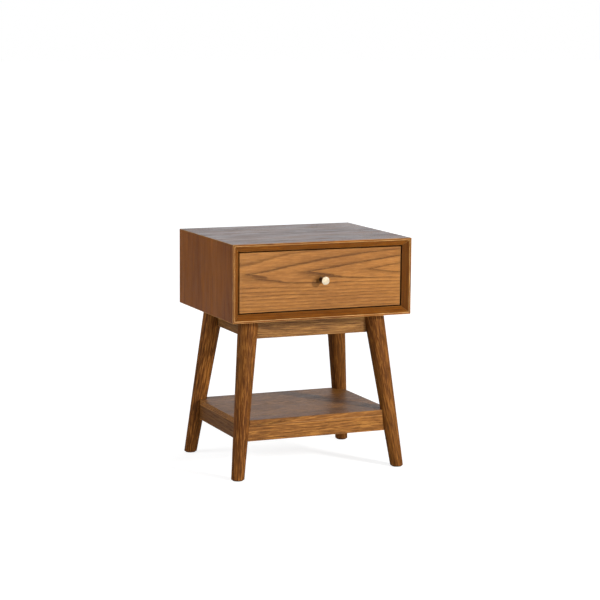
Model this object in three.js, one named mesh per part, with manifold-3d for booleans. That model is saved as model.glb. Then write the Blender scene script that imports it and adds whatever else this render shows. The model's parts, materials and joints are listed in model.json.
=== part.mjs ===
// Mid-century nightstand: a mitred case holding one drawer, on four splayed round legs
// with aprons under the case and an open shelf low down between the legs.
// Millimetres, +Z up, the drawer opens towards -Y. The origin is on the floor, under the
// middle of the bounding box, so the knob's reach sets the case a little behind it.

import * as THREE from "three";
import { mergeVertices } from "three/addons/utils/BufferGeometryUtils.js";
import Module from "manifold-3d";

// Overall
const caseWidth = 457;
const caseDepth = 368;
const caseHeight = 184;
const totalHeight = 560;
const jointGap = 0.3; // between pieces that touch
const mitreGap = jointGap * 0.7; // each side of a mitre
const overrun = 1; // how far a cutter runs past what it cuts
const boreSides = 16;

// Case panels: a flat rim round the front, then a bevel that falls back to the drawer
const panelThickness = 19;
const rimWidth = 4.5;
const bevelReach = panelThickness - rimWidth; // 45 degrees, so it is as deep as it is wide
const rabbetDepth = 9;
const rabbetWidth = 9;
const backThickness = 6;

// Drawer
const revealGap = 2.5; // the shadow line round the drawer front
const boxThickness = 12;
const boxHeight = 110;
const boxLength = 305;
const boxLift = 10; // from the case floor up to the drawer box
const bottomThickness = 5;
const grooveLift = 8;
const grooveDepth = 6;
const frontScrewInset = 55;
const frontScrewHeights = [28, 84]; // up from the box's lower edge

// Slides: telescoping, three members a side
const slideSpace = 12.7;
const slideLength = 300;
const slideHeight = 45;
const slideWall = 1.2;
const slideSetback = 3;
const slideNesting = 2.4; // each member is this much lower, top and bottom, than the one round it

// Knob: a small foot, a narrow neck, and a cone that opens to a flat round face
const knobReach = 26;
const knobRadius = 9.7;
const knobFoot = { radius: 6.5, thickness: 1.6 };
const knobNeck = { radius: 4.7, start: 3.4, end: 10, flare: 14 };
const knobRim = { height: 3.6, edge: 0.8 };
const knobBore = 9;
const knobSides = 40;
const knobScrew = { length: 38, radius: 2, headRadius: 4.2, headHeight: 2.6, spare: 4 };
const frontScrew = { length: 28, radius: 1.9, headRadius: 3.9, headHeight: 2.4 };

// Base
const legTop = { x: 162.3, y: 113.9, radius: 24.5 };
const legFoot = { x: 207.6, y: 164, radius: 15.5 };
const legSides = 56;
const legOverrun = 10; // the cone runs on past both ends before it is cut flat
const glide = { radius: 12, thickness: 2, sides: 24 };
const apron = { halfX: 160.3, halfY: 114.7, height: 50, thickness: 19 };
const shelf = { halfX: 195.5, halfY: 152, top: 139, boardThickness: 13, height: 51 };
const shelfRail = { setback: 1, thickness: 19 };
const shelfNotchGap = 1; // the legs lean over the board, so its notches are roomy
const blockSide = 56;
const blockHeight = 30;
const legBolt = { length: 70, radius: 3, headRadius: 6, headHeight: 4.5 };
const baseScrew = { length: 42, radius: 2.2, headRadius: 4.5, headHeight: 3, insetX: 10, insetY: 36 };

// Derived places
const caseBottom = totalHeight - caseHeight;
const halfWidth = caseWidth / 2;
const frontY = -caseDepth / 2;
const backY = caseDepth / 2;
const innerHalf = halfWidth - panelThickness;
const floorInside = caseBottom + panelThickness;
const drawerFaceY = frontY + bevelReach;
const drawerFrontBack = drawerFaceY + panelThickness;
const boxFrontY = drawerFrontBack + jointGap;
const boxBackY = boxFrontY + boxLength;
const boxHalf = innerHalf - slideSpace;
const boxLow = floorInside + boxLift;
const drawerMiddle = caseBottom + caseHeight / 2;
const baseTop = caseBottom - jointGap;

const corners = [
  { name: "front_left", x: -1, y: -1 },
  { name: "front_right", x: 1, y: -1 },
  { name: "back_left", x: -1, y: 1 },
  { name: "back_right", x: 1, y: 1 },
];
const turns = ["front", "right", "back", "left"]; // a quarter turn apart, from -Y

const finishes = {
  wood: { color: 0x8a5227, roughness: 0.45, metalness: 0 },
  drawerFace: { color: 0xb4783f, roughness: 0.42, metalness: 0 },
  drawerWood: { color: 0xcfb083, roughness: 0.6, metalness: 0 },
  plywood: { color: 0xb08a5c, roughness: 0.65, metalness: 0 },
  brass: { color: 0xe6d3a8, roughness: 0.25, metalness: 1 },
  zinc: { color: 0xb9bdc2, roughness: 0.35, metalness: 1 },
  nylon: { color: 0x3a332c, roughness: 0.7, metalness: 0 },
};

const wasm = await Module();
wasm.setup();

const nightstand = new THREE.Group();
nightstand.position.y = (knobReach + jointGap - bevelReach) / 2;

function addPiece(name, geometry, finish) {
  const mesh = new THREE.Mesh(geometry, new THREE.MeshStandardMaterial(finish));
  mesh.name = name;
  nightstand.add(mesh);
  return mesh;
}

// Booleans

function toSolid(geometry) {
  const bare = geometry.clone();
  bare.deleteAttribute("normal");
  bare.deleteAttribute("uv");
  const merged = mergeVertices(bare, 1e-4);
  return new wasm.Manifold(new wasm.Mesh({
    numProp: 3,
    vertProperties: new Float32Array(merged.attributes.position.array),
    triVerts: new Uint32Array(merged.index.array),
  }));
}

function toGeometry(solid) {
  const mesh = solid.getMesh();
  const geometry = new THREE.BufferGeometry();
  geometry.setAttribute("position", new THREE.BufferAttribute(mesh.vertProperties, 3));
  geometry.setIndex(new THREE.BufferAttribute(mesh.triVerts, 1));
  geometry.computeVertexNormals();
  return geometry;
}

function cut(geometry, cutters) {
  const whole = toSolid(geometry);
  return toGeometry(cutters.reduce((solid, cutter) => solid.subtract(toSolid(cutter)), whole));
}

// Shapes

const axisBases = {
  x: [[0, 1, 0], [0, 0, 1], [1, 0, 0]], // outline in (y, z)
  y: [[1, 0, 0], [0, 0, 1], [0, -1, 0]], // outline in (x, z)
  z: [[1, 0, 0], [0, 1, 0], [0, 0, 1]], // outline in (x, y)
};

// A straight bar with the given outline, centred at middle along its axis.
function bar(axis, outline, length, middle = 0) {
  const shape = new THREE.Shape(outline.map(([u, v]) => new THREE.Vector2(u, v)));
  const geometry = new THREE.ExtrudeGeometry(shape, { depth: length, bevelEnabled: false });
  geometry.translate(0, 0, -length / 2);
  const basis = axisBases[axis].map((direction) => new THREE.Vector3(...direction));
  geometry.applyMatrix4(new THREE.Matrix4().makeBasis(...basis));
  const along = { x: [middle, 0, 0], y: [0, middle, 0], z: [0, 0, middle] }[axis];
  return geometry.translate(...along);
}

function block(low, high) {
  const size = high.map((value, index) => value - low[index]);
  const centre = high.map((value, index) => (value + low[index]) / 2);
  return new THREE.BoxGeometry(...size).translate(...centre);
}

// A round bar from one point to another.
function roundBar(from, to, radiusFrom, radiusTo, sides) {
  const start = new THREE.Vector3(...from);
  const end = new THREE.Vector3(...to);
  const axis = end.clone().sub(start);
  const geometry = new THREE.CylinderGeometry(radiusTo, radiusFrom, axis.length(), sides);
  const turn = new THREE.Quaternion().setFromUnitVectors(
    new THREE.Vector3(0, 1, 0),
    axis.clone().normalize(),
  );
  geometry.applyQuaternion(turn);
  const centre = start.add(end).multiplyScalar(0.5);
  return geometry.translate(centre.x, centre.y, centre.z);
}

// A pan-head screw whose head starts at the given point and whose shank runs along direction.
function screw(head, direction, size) {
  const { radius, headRadius, headHeight, length } = size;
  const profile = [
    [0, 0],
    [headRadius * 0.7, 0],
    [headRadius, headHeight * 0.45],
    [headRadius, headHeight],
    [radius, headHeight],
    [radius, length - radius * 2],
    [0, length],
  ];
  const geometry = new THREE.LatheGeometry(
    profile.map(([r, h]) => new THREE.Vector2(r, h)),
    boreSides,
  );
  const turn = new THREE.Quaternion().setFromUnitVectors(
    new THREE.Vector3(0, 1, 0),
    new THREE.Vector3(...direction).normalize(),
  );
  return geometry.applyQuaternion(turn).translate(...head);
}

// Case

// The panel lies with its outer face up at z = 0, its length along X and mitres at both ends.
function casePanel(length) {
  const outline = [
    [frontY, 0],
    [frontY, -rimWidth],
    [frontY + bevelReach, -panelThickness],
    [backY - rabbetDepth, -panelThickness],
    [backY - rabbetDepth, rabbetWidth - panelThickness],
    [backY, rabbetWidth - panelThickness],
    [backY, 0],
  ];
  const geometry = bar("x", outline, length);
  const place = geometry.attributes.position;
  for (let index = 0; index < place.count; index += 1) {
    const half = length / 2 + place.getZ(index) - mitreGap;
    place.setX(index, Math.sign(place.getX(index)) * half);
  }
  return geometry;
}

const blockHoles = corners.map((corner) => ({ ...corner, ...fixingPlaces(corner) }));
const screwTip = baseTop - blockHeight - baseScrew.headHeight + baseScrew.length;

function fixingPlaces({ x, y }) {
  const insideX = apron.halfX - apron.thickness - jointGap;
  const insideY = apron.halfY - apron.thickness - jointGap;
  const boltHeight = baseTop - blockHeight / 2;
  const axis = legAxisAt(boltHeight);
  // the bolt runs at 45 degrees through the leg's axis and leaves by the block's slanted face
  const toFace = (axis.x + axis.y - (insideX + insideY - blockSide)) / 2;
  return {
    insideX,
    insideY,
    boltHeight,
    boltStart: [x * (axis.x - toFace), y * (axis.y - toFace), boltHeight],
    boltDirection: [x, y, 0],
    screwSpot: [x * (insideX - baseScrew.insetX), y * (insideY - baseScrew.insetY)],
  };
}

function legAxisAt(height) {
  const drop = (caseBottom - height) / caseBottom;
  return {
    x: legTop.x + (legFoot.x - legTop.x) * drop,
    y: legTop.y + (legFoot.y - legTop.y) * drop,
    radius: legTop.radius + (legFoot.radius - legTop.radius) * drop,
  };
}

function baseScrewHole({ screwSpot }) {
  const radius = baseScrew.radius + jointGap;
  const low = [...screwSpot, baseTop - blockHeight - overrun];
  return roundBar(low, [...screwSpot, screwTip + overrun], radius, radius, boreSides);
}

const topPanel = addPiece("top_panel", casePanel(caseWidth), finishes.wood);
topPanel.position.z = totalHeight;

const leftSide = addPiece("left_side", casePanel(caseHeight), finishes.wood);
leftSide.rotation.y = -Math.PI / 2;
leftSide.position.set(-halfWidth, 0, drawerMiddle);

const rightSide = addPiece("right_side", casePanel(caseHeight), finishes.wood);
rightSide.rotation.y = Math.PI / 2;
rightSide.position.set(halfWidth, 0, drawerMiddle);

const bottomPanel = casePanel(caseWidth).rotateY(Math.PI).translate(0, 0, caseBottom);
addPiece("bottom_panel", cut(bottomPanel, blockHoles.map(baseScrewHole)), finishes.wood);

const backHalf = halfWidth - panelThickness + rabbetWidth - jointGap;
const backFront = backY - rabbetDepth + jointGap;
addPiece(
  "back_panel",
  block(
    [-backHalf, backFront, floorInside - rabbetWidth + jointGap],
    [backHalf, backFront + backThickness, totalHeight - panelThickness + rabbetWidth - jointGap],
  ),
  finishes.plywood,
);

// Drawer

const frontHalf = innerHalf - revealGap;
const boxFrontInside = boxFrontY + boxThickness;
const boxInnerHalf = boxHalf - boxThickness;
const frontScrewSpots = [];
for (const side of [-1, 1]) {
  for (const lift of frontScrewHeights) {
    frontScrewSpots.push([side * (boxInnerHalf - frontScrewInset), boxLow + lift]);
  }
}

// A hole along Y, from inside the drawer forward through its front.
function frontHole([x, z], size, reach) {
  const radius = size.radius + jointGap;
  const start = [x, boxFrontInside + overrun, z];
  return roundBar(start, [x, boxFrontInside - reach, z], radius, radius, boreSides);
}

const screwHoles = frontScrewSpots.map((spot) => frontHole(spot, frontScrew, frontScrew.length));
const knobHole = frontHole([0, drawerMiddle], knobScrew, knobScrew.length + knobScrew.spare);

addPiece(
  "drawer_front",
  cut(
    block(
      [-frontHalf, drawerFaceY, floorInside + revealGap],
      [frontHalf, drawerFrontBack, totalHeight - panelThickness - revealGap],
    ),
    [...screwHoles, knobHole],
  ),
  finishes.drawerFace,
);

// Outline of a drawer box wall, outer face at 0, with the groove that holds the bottom.
function boxWall(outer, inward) {
  const inner = outer + inward * boxThickness;
  const grooveEnd = inner - inward * grooveDepth;
  const grooveLow = boxLow + grooveLift;
  const grooveHigh = grooveLow + bottomThickness + 2 * jointGap;
  return [
    [outer, boxLow],
    [inner, boxLow],
    [inner, grooveLow],
    [grooveEnd, grooveLow],
    [grooveEnd, grooveHigh],
    [inner, grooveHigh],
    [inner, boxLow + boxHeight],
    [outer, boxLow + boxHeight],
  ];
}

const boxMiddleY = (boxFrontY + boxBackY) / 2;
const crossLength = 2 * (boxInnerHalf - jointGap);
for (const [name, side] of [["drawer_side_left", -1], ["drawer_side_right", 1]]) {
  addPiece(name, bar("y", boxWall(side * boxHalf, -side), boxLength, boxMiddleY), finishes.drawerWood);
}
addPiece(
  "drawer_box_front",
  cut(bar("x", boxWall(boxFrontY, 1), crossLength), [...screwHoles, knobHole]),
  finishes.drawerWood,
);
addPiece("drawer_box_back", bar("x", boxWall(boxBackY, -1), crossLength), finishes.drawerWood);

const bottomHalf = boxInnerHalf + grooveDepth - jointGap;
const bottomLow = boxLow + grooveLift + jointGap;
const bottomInset = boxThickness - grooveDepth + jointGap;
addPiece(
  "drawer_bottom",
  block(
    [-bottomHalf, boxFrontY + bottomInset, bottomLow],
    [bottomHalf, boxBackY - bottomInset, bottomLow + bottomThickness],
  ),
  finishes.plywood,
);

const forward = [0, -1, 0];
frontScrewSpots.forEach(([x, z], index) => {
  const head = [x, boxFrontInside + jointGap + frontScrew.headHeight, z];
  addPiece(`front_screw_${index + 1}`, screw(head, forward, frontScrew), finishes.zinc);
});
const knobHead = [0, boxFrontInside + jointGap + knobScrew.headHeight, drawerMiddle];

// The knob's profile runs from the drawer front out to the face, with a blind hole for the screw.
const knobBoreRadius = knobScrew.radius + jointGap;
const knobProfile = [
  [knobBoreRadius, 0],
  [knobFoot.radius, 0],
  [knobFoot.radius, knobFoot.thickness],
  [knobNeck.radius + 0.2, knobNeck.start],
  [knobNeck.radius, knobNeck.end],
  [knobNeck.radius + 0.9, knobNeck.flare],
  [knobRadius - 0.6, knobReach - knobRim.edge - knobRim.height - 1],
  [knobRadius, knobReach - knobRim.edge - knobRim.height],
  [knobRadius, knobReach - knobRim.edge],
  [knobRadius - knobRim.edge, knobReach],
  [0, knobReach + 0.001],
  [0, knobBore],
  [knobBoreRadius, knobBore],
  [knobBoreRadius, 0],
];
const knob = new THREE.LatheGeometry(
  knobProfile.map(([r, h]) => new THREE.Vector2(r, h)),
  knobSides,
);
knob.rotateX(Math.PI).translate(0, drawerFaceY - jointGap, drawerMiddle);
addPiece("knob", knob, finishes.brass);
addPiece("knob_screw", screw(knobHead, forward, knobScrew), finishes.zinc);

// Slides

// A channel of the given depth: web at u = web, flanges at +-half reaching to u = lip.
function channel(side, web, lip, half) {
  const inside = web + Math.sign(lip - web) * slideWall;
  const points = [
    [web, -half],
    [lip, -half],
    [lip, slideWall - half],
    [inside, slideWall - half],
    [inside, half - slideWall],
    [lip, half - slideWall],
    [lip, half],
    [web, half],
  ];
  const middleZ = boxLow + boxHeight / 2;
  return points.map(([u, v]) => [side * (innerHalf - u), middleZ + v]);
}

const slideMiddleY = boxFrontY + slideSetback + slideLength / 2;
const slideMembers = [
  { name: "slide_case", web: jointGap, lip: 10, half: slideHeight / 2 },
  { name: "slide_middle", web: 4, lip: 10.4, half: slideHeight / 2 - slideNesting },
  { name: "slide_drawer", web: slideSpace - jointGap, lip: 6.4, half: slideHeight / 2 - 2 * slideNesting },
];
for (const [sideName, side] of [["left", -1], ["right", 1]]) {
  for (const { name, web, lip, half } of slideMembers) {
    const outline = channel(side, web, lip, half);
    addPiece(`${name}_${sideName}`, bar("y", outline, slideLength, slideMiddleY), finishes.zinc);
  }
}

// Base: legs

// A leg's cone, swollen by extra all round, running past the floor and into the case.
function legCone({ x, y }, extra) {
  const high = legAxisAt(caseBottom + legOverrun);
  const low = legAxisAt(-legOverrun);
  return roundBar(
    [x * low.x, y * low.y, -legOverrun],
    [x * high.x, y * high.y, caseBottom + legOverrun],
    low.radius + extra,
    high.radius + extra,
    legSides,
  );
}

function boltHole({ boltStart, boltDirection }) {
  const start = new THREE.Vector3(...boltStart);
  const direction = new THREE.Vector3(...boltDirection).normalize();
  const outside = start.clone().addScaledVector(direction, -overrun);
  const end = start.clone().addScaledVector(direction, legBolt.length + overrun);
  const radius = legBolt.radius + jointGap;
  return roundBar(outside.toArray(), end.toArray(), radius, radius, boreSides);
}

const legSlab = toSolid(
  block([-caseWidth, -caseWidth, glide.thickness], [caseWidth, caseWidth, baseTop]),
);
for (const corner of blockHoles) {
  const leg = toSolid(legCone(corner, 0)).intersect(legSlab).subtract(toSolid(boltHole(corner)));
  addPiece(`leg_${corner.name}`, toGeometry(leg), finishes.wood);

  const padHeight = glide.thickness - jointGap;
  const pad = new THREE.CylinderGeometry(glide.radius, glide.radius, padHeight, glide.sides);
  const footPad = addPiece(`glide_${corner.name}`, pad.rotateX(Math.PI / 2), finishes.nylon);
  const foot = legAxisAt(glide.thickness);
  footPad.position.set(corner.x * foot.x, corner.y * foot.y, padHeight / 2);
}

// Base: rails mitred behind the legs and scribed to them

const legClearance = corners.map((corner) => legCone(corner, jointGap));

function mitredRail(turn, halfX, halfY, thickness, low, high, cutters) {
  const [half, offset] = turn % 2 === 0 ? [halfX, halfY] : [halfY, halfX];
  const outline = [
    [mitreGap - half, -offset],
    [half - mitreGap, -offset],
    [half - thickness - mitreGap, thickness - offset],
    [thickness + mitreGap - half, thickness - offset],
  ];
  const geometry = bar("z", outline, high - low, (high + low) / 2);
  geometry.rotateZ((turn * Math.PI) / 2);
  return cut(geometry, cutters);
}

const apronCutters = [...legClearance, ...blockHoles.map(boltHole)];
const apronLow = caseBottom - apron.height;
const railX = shelf.halfX - shelfRail.setback;
const railY = shelf.halfY - shelfRail.setback;
const railLow = shelf.top - shelf.height;
const railTop = shelf.top - shelf.boardThickness - jointGap;
turns.forEach((name, turn) => {
  const { halfX, halfY, thickness } = apron;
  const band = mitredRail(turn, halfX, halfY, thickness, apronLow, baseTop, apronCutters);
  addPiece(`apron_${name}`, band, finishes.wood);

  const rail = mitredRail(turn, railX, railY, shelfRail.thickness, railLow, railTop, legClearance);
  addPiece(`shelf_rail_${name}`, rail, finishes.wood);
});

const board = block(
  [-shelf.halfX, -shelf.halfY, shelf.top - shelf.boardThickness],
  [shelf.halfX, shelf.halfY, shelf.top],
);
const shelfNotches = corners.map((corner) => legCone(corner, shelfNotchGap));
addPiece("shelf_board", cut(board, shelfNotches), finishes.wood);

// Base: corner blocks with their bolts and screws

for (const corner of blockHoles) {
  const { insideX, insideY } = corner;
  const outline = [
    [corner.x * insideX, corner.y * insideY],
    [corner.x * (insideX - blockSide), corner.y * insideY],
    [corner.x * insideX, corner.y * (insideY - blockSide)],
  ];
  const wedge = bar("z", outline, blockHeight, baseTop - blockHeight / 2);
  const holes = [legCone(corner, jointGap), boltHole(corner), baseScrewHole(corner)];
  addPiece(`corner_block_${corner.name}`, cut(wedge, holes), finishes.plywood);

  // hex-head bolt: the head stands off the block's slanted face
  const away = new THREE.Vector3(...corner.boltDirection).normalize();
  const face = new THREE.Vector3(...corner.boltStart).addScaledVector(away, -jointGap);
  const headEnd = face.clone().addScaledVector(away, -legBolt.headHeight).toArray();
  const tip = face.clone().addScaledVector(away, legBolt.length).toArray();
  const inHead = face.clone().addScaledVector(away, -legBolt.headHeight / 2).toArray();
  const { radius, headRadius } = legBolt;
  const head = toSolid(roundBar(headEnd, face.toArray(), headRadius, headRadius, 6));
  const shank = toSolid(roundBar(inHead, tip, radius, radius, boreSides));
  addPiece(`leg_bolt_${corner.name}`, toGeometry(head.add(shank)), finishes.zinc);

  const screwHead = [...corner.screwSpot, baseTop - blockHeight - jointGap - baseScrew.headHeight];
  addPiece(`base_screw_${corner.name}`, screw(screwHead, [0, 0, 1], baseScrew), finishes.zinc);
}

export default nightstand;
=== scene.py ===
import json
import math

import bmesh
import bpy
import numpy as np
from mathutils import Matrix, Vector

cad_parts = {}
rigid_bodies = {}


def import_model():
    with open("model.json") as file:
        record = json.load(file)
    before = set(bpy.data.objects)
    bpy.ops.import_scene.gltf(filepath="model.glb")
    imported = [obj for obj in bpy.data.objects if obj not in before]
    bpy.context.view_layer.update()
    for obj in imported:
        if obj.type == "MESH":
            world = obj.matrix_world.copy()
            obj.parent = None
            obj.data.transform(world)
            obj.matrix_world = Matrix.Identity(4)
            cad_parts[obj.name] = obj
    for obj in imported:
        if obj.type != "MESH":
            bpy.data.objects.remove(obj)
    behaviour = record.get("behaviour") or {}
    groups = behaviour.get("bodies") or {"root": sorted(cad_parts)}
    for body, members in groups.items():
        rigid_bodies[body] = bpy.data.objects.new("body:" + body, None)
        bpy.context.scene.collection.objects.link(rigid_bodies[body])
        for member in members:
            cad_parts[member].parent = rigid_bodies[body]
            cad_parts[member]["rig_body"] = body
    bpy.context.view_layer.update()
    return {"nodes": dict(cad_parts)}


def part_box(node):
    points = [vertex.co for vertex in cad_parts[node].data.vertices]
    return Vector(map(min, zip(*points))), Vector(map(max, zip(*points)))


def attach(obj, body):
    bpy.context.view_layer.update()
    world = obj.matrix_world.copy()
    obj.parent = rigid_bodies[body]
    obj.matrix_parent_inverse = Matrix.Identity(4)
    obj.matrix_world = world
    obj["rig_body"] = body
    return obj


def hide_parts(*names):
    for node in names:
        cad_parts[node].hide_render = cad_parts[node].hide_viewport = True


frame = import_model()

mm = 0.001
scene = bpy.context.scene

# Where things are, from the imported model
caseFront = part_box("top_panel")[0].y
bottomLow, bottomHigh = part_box("bottom_panel")
panelThickness = bottomHigh.z - bottomLow.z
frontLow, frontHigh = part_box("drawer_front")
knobLow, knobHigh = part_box("knob")
knobHeight = (frontLow.z + frontHigh.z) / 2


# Node trees are laid out with these two

class Wire:
    # a value on its way through a tree of nodes: sums on it lay down Math nodes
    def __init__(self, bench, socket):
        self.bench = bench
        self.socket = socket

    def out(self, name):
        return Wire(self.bench, self.socket.node.outputs[name])

    def __add__(self, other):
        return self.bench.maths("ADD", self, other)

    def __radd__(self, other):
        return self.bench.maths("ADD", other, self)

    def __sub__(self, other):
        return self.bench.maths("SUBTRACT", self, other)

    def __rsub__(self, other):
        return self.bench.maths("SUBTRACT", other, self)

    def __mul__(self, other):
        return self.bench.maths("MULTIPLY", self, other)

    def __rmul__(self, other):
        return self.bench.maths("MULTIPLY", other, self)

    def __truediv__(self, other):
        return self.bench.maths("DIVIDE", self, other)


class Bench:
    # one node tree being laid out
    def __init__(self, tree):
        self.tree = tree

    def put(self, kind, settings=None, inputs=None, output=0):
        node = self.tree.nodes.new(kind)
        for name, value in (settings or {}).items():
            if name == "stops":
                setStops(node.color_ramp, value)
            else:
                setattr(node, name, value)
        for key, value in (inputs or {}).items():
            if isinstance(value, Wire):
                self.tree.links.new(value.socket, node.inputs[key])
            else:
                node.inputs[key].default_value = value
        return Wire(self, node.outputs[output]) if node.outputs else node

    def maths(self, operation, *values):
        return self.put("ShaderNodeMath", {"operation": operation}, dict(enumerate(values)))


def setStops(ramp, stops):
    while len(ramp.elements) < len(stops):
        ramp.elements.new(1.0)
    for element, (place, value) in zip(ramp.elements, stops):
        element.position = place
        element.color = (value, value, value, 1.0)


def tint(red, green, blue):
    def straight(level):
        level = level / 255
        return level / 12.92 if level <= 0.04045 else ((level + 0.055) / 1.055) ** 2.4
    return (straight(red), straight(green), straight(blue), 1.0)


def blend(bench, amount, first, second):
    return bench.put("ShaderNodeMix", {"data_type": "RGBA"}, {0: amount, 6: first, 7: second}, 2)


def between(bench, value, low, high, start=0.0, end=1.0):
    settings = {"interpolation_type": "SMOOTHSTEP"}
    return bench.put("ShaderNodeMapRange", settings, {0: value, 1: low, 2: high, 3: start, 4: end})


def noiseOn(bench, place, scale, detail=2.0, roughness=0.5, shift=0.0):
    # scale is in waves per metre, one number or one for each direction
    steps = scale if isinstance(scale, tuple) else (scale, scale, scale)
    settings = {"operation": "MULTIPLY_ADD"}
    moved = bench.put("ShaderNodeVectorMath", settings, {0: place, 1: steps, 2: (shift, shift, shift)})
    values = {"Vector": moved, "Scale": 1.0, "Detail": detail, "Roughness": roughness}
    return bench.put("ShaderNodeTexNoise", {}, values)


def newFinish(name, fixed):
    # fixed holds what is the same all over the surface
    material = bpy.data.materials.new(name)
    material.use_nodes = True
    bench = Bench(material.node_tree)
    material.node_tree.nodes.clear()
    shader = material.node_tree.nodes.new("ShaderNodeBsdfPrincipled")
    for key, value in fixed.items():
        shader.inputs[key].default_value = value
    output = material.node_tree.nodes.new("ShaderNodeOutputMaterial")
    material.node_tree.links.new(shader.outputs[0], output.inputs["Surface"])
    return material, bench, shader


def feed(bench, shader, **sources):
    for name, wire in sources.items():
        bench.tree.links.new(wire.socket, shader.inputs[name.replace("_", " ")])


def bumpOf(bench, height, distance):
    return bench.put("ShaderNodeBump", {}, {"Height": height, "Distance": distance, "Strength": 1.0})


# Wood finishes. A board's own directions are in its "grain" attribute, in metres: along the
# grain, then across and in depth from the heart of the log, so rings and end grain come out right.

woodNoise = {  # waves per metre along and across the grain, then detail, roughness and shift
    "slow": (5.0, 24.0, 2.0, 0.5, 0.0),
    "quick": (22.0, 110.0, 3.0, 0.55, 7.0),
    "feather": (15.0, 430.0, 2.0, 0.6, 31.0),
    "fibre": (16.0, 620.0, 4.0, 0.62, 3.0),
    "strand": (5.0, 150.0, 3.0, 0.6, 11.0),
    "pore": (190.0, 2600.0, 1.0, 0.4, 5.0),
    "patch": (3.2, 15.0, 3.0, 0.55, 19.0),
    "fleck": (5.0, 360.0, 3.0, 0.6, 37.0),
    "rubbing": (30.0, 60.0, 3.0, 0.6, 23.0),
    "dull": (9.0, 40.0, 3.0, 0.6, 29.0),
}
ringForm = {
    "quickShare": 0.28,  # of the slow wavering
    "levelFrom": -2.0, "levelTo": 38.0,  # mm below the heart, where the arches level out
    "tipSpread": 0.0008,  # how soon the arches' points give way to their flanks
}
lacquer = {"Coat Roughness": 0.25, "Coat IOR": 1.5}


def woodFinish(name, look):
    material, bench, shader = newFinish(name, {"Specular IOR Level": look["shine"], **lacquer})
    grain = bench.put("ShaderNodeAttribute", {"attribute_name": "grain"}, output="Vector")
    edge = bench.put("ShaderNodeAttribute", {"attribute_name": "edge"}, output="Fac")
    shade = bench.put("ShaderNodeAttribute", {"attribute_name": "shade"}, output="Fac")
    parts = bench.put("ShaderNodeSeparateXYZ", {}, {0: grain})
    noise = {}
    for key, (alongRate, acrossRate, *rest) in woodNoise.items():
        rates = (look.get(key + "Rate", alongRate), acrossRate, acrossRate)
        noise[key] = noiseOn(bench, grain, rates, *rest)
    fibre, strand, fleck, dull = noise["fibre"], noise["strand"], noise["fleck"], noise["dull"]

    # growth rings: distance from the heart in mm, wavering, with a pore band that fades outwards
    wander = (noise["slow"] - 0.5) * look["waver"]
    wander = wander + (noise["quick"] - 0.5) * (look["waver"] * ringForm["quickShare"])
    wander = wander + (noise["feather"] - 0.5) * look["feather"]
    below = parts.out("Y") * -1000.0
    across = bench.maths("ABSOLUTE", below)
    toMm = between(bench, below, ringForm["levelFrom"], ringForm["levelTo"], 1000.0, look["levelled"])
    depth = bench.maths("ABSOLUTE", parts.out("Z")) * toMm
    tip = bench.maths("EXPONENT", across * across * -ringForm["tipSpread"])
    squares = across * across + depth * depth
    reach = bench.maths("SQRT", squares + across * depth * tip * (2.0 * look["pointed"]))
    over = bench.maths("MAXIMUM", below + wander - look["tightFrom"], 0.0)
    ring = (reach + wander) / look["ringWidth"] + over * look["tighten"]
    phase = bench.maths("FRACT", ring)
    ringNumber = bench.maths("FLOOR", ring)
    ringTone = bench.put("ShaderNodeTexWhiteNoise", {"noise_dimensions": "1D"}, {"W": ringNumber})
    width = look["lineWidth"]
    stops = [
        (0.0, 0.9), (width * 0.4, 1.0), (width, 0.5), (width * 2.2, 0.16),
        (0.78, 0.0), (0.95, 0.12), (1.0, 0.9),
    ]
    band = bench.put("ShaderNodeValToRGB", {"stops": stops}, {0: phase})
    broken = between(bench, strand, 0.25, 0.65, 0.78, 1.0)
    line = band * (0.6 + ringTone * 0.4) * broken * (0.75 + tip * 0.25)

    # open pores crowd into the pore bands
    poreEdge = 0.70 - band * 0.16
    pores = between(bench, noise["pore"] - poreEdge, 0.0, 0.05)

    # tone wanders along and across the board, and fibres and flecks run through it
    tone = between(bench, noise["patch"] + (strand - 0.5) * 0.5, 0.3, 0.72)
    dark = between(bench, fibre, 0.36, 0.66)
    pale = between(bench, fibre + strand * 0.5, 0.78, 1.05)
    darkFleck = between(bench, fleck, 0.50, 0.68)
    paleFleck = between(bench, fleck, 0.50, 0.32)
    colour = blend(bench, tone, look["dark"], look["light"])
    colour = blend(bench, line * look["lineStrength"], colour, look["line"])
    colour = blend(bench, dark * look["fibre"], colour, look["line"])
    colour = blend(bench, pale * look["glint"], colour, look["pale"])
    colour = blend(bench, darkFleck * look["fleck"], colour, look["line"])
    colour = blend(bench, paleFleck * look["fleck"], colour, look["pale"])
    # the shade attribute darkens towards the line colour: painted shade on the bevels and in the gap round
    # the drawer, on the left-facing apron and shelf rail, and each leg by its own amount
    colour = blend(bench, shade, colour, look["line"])
    colour = blend(bench, pores * look["pores"], colour, look["pore"])

    # the rounded arrises are lighter: partly wear, partly a painted highlight along the arris; the bevels
    # round the drawer take a little painted sheen this way as well
    worn = edge * between(bench, noise["rubbing"], 0.35, 0.65, 0.5, 1.0)
    colour = blend(bench, worn * look["wear"], colour, look["worn"])
    # painted shade: where the shade attribute is high, in the gap round the drawer, the colour goes on
    # towards the near-black pore colour
    colour = blend(bench, between(bench, shade, 0.6, 0.9), colour, look["pore"])

    rough = look["rough"] + line * 0.16 + pores * 0.16 + (dull - 0.5) * look["streaks"] + worn * 0.08
    height = (fibre - 0.5) * 0.5 - line * 0.7 - pores * 1.5
    feed(bench, shader, Base_Color=colour, Roughness=rough, Normal=bumpOf(bench, height, look["bump"]))
    if look["coat"] > 0.0:
        feed(bench, shader, Coat_Weight=(0.4 + dull * 1.2) * look["coat"])
    return material


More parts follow.
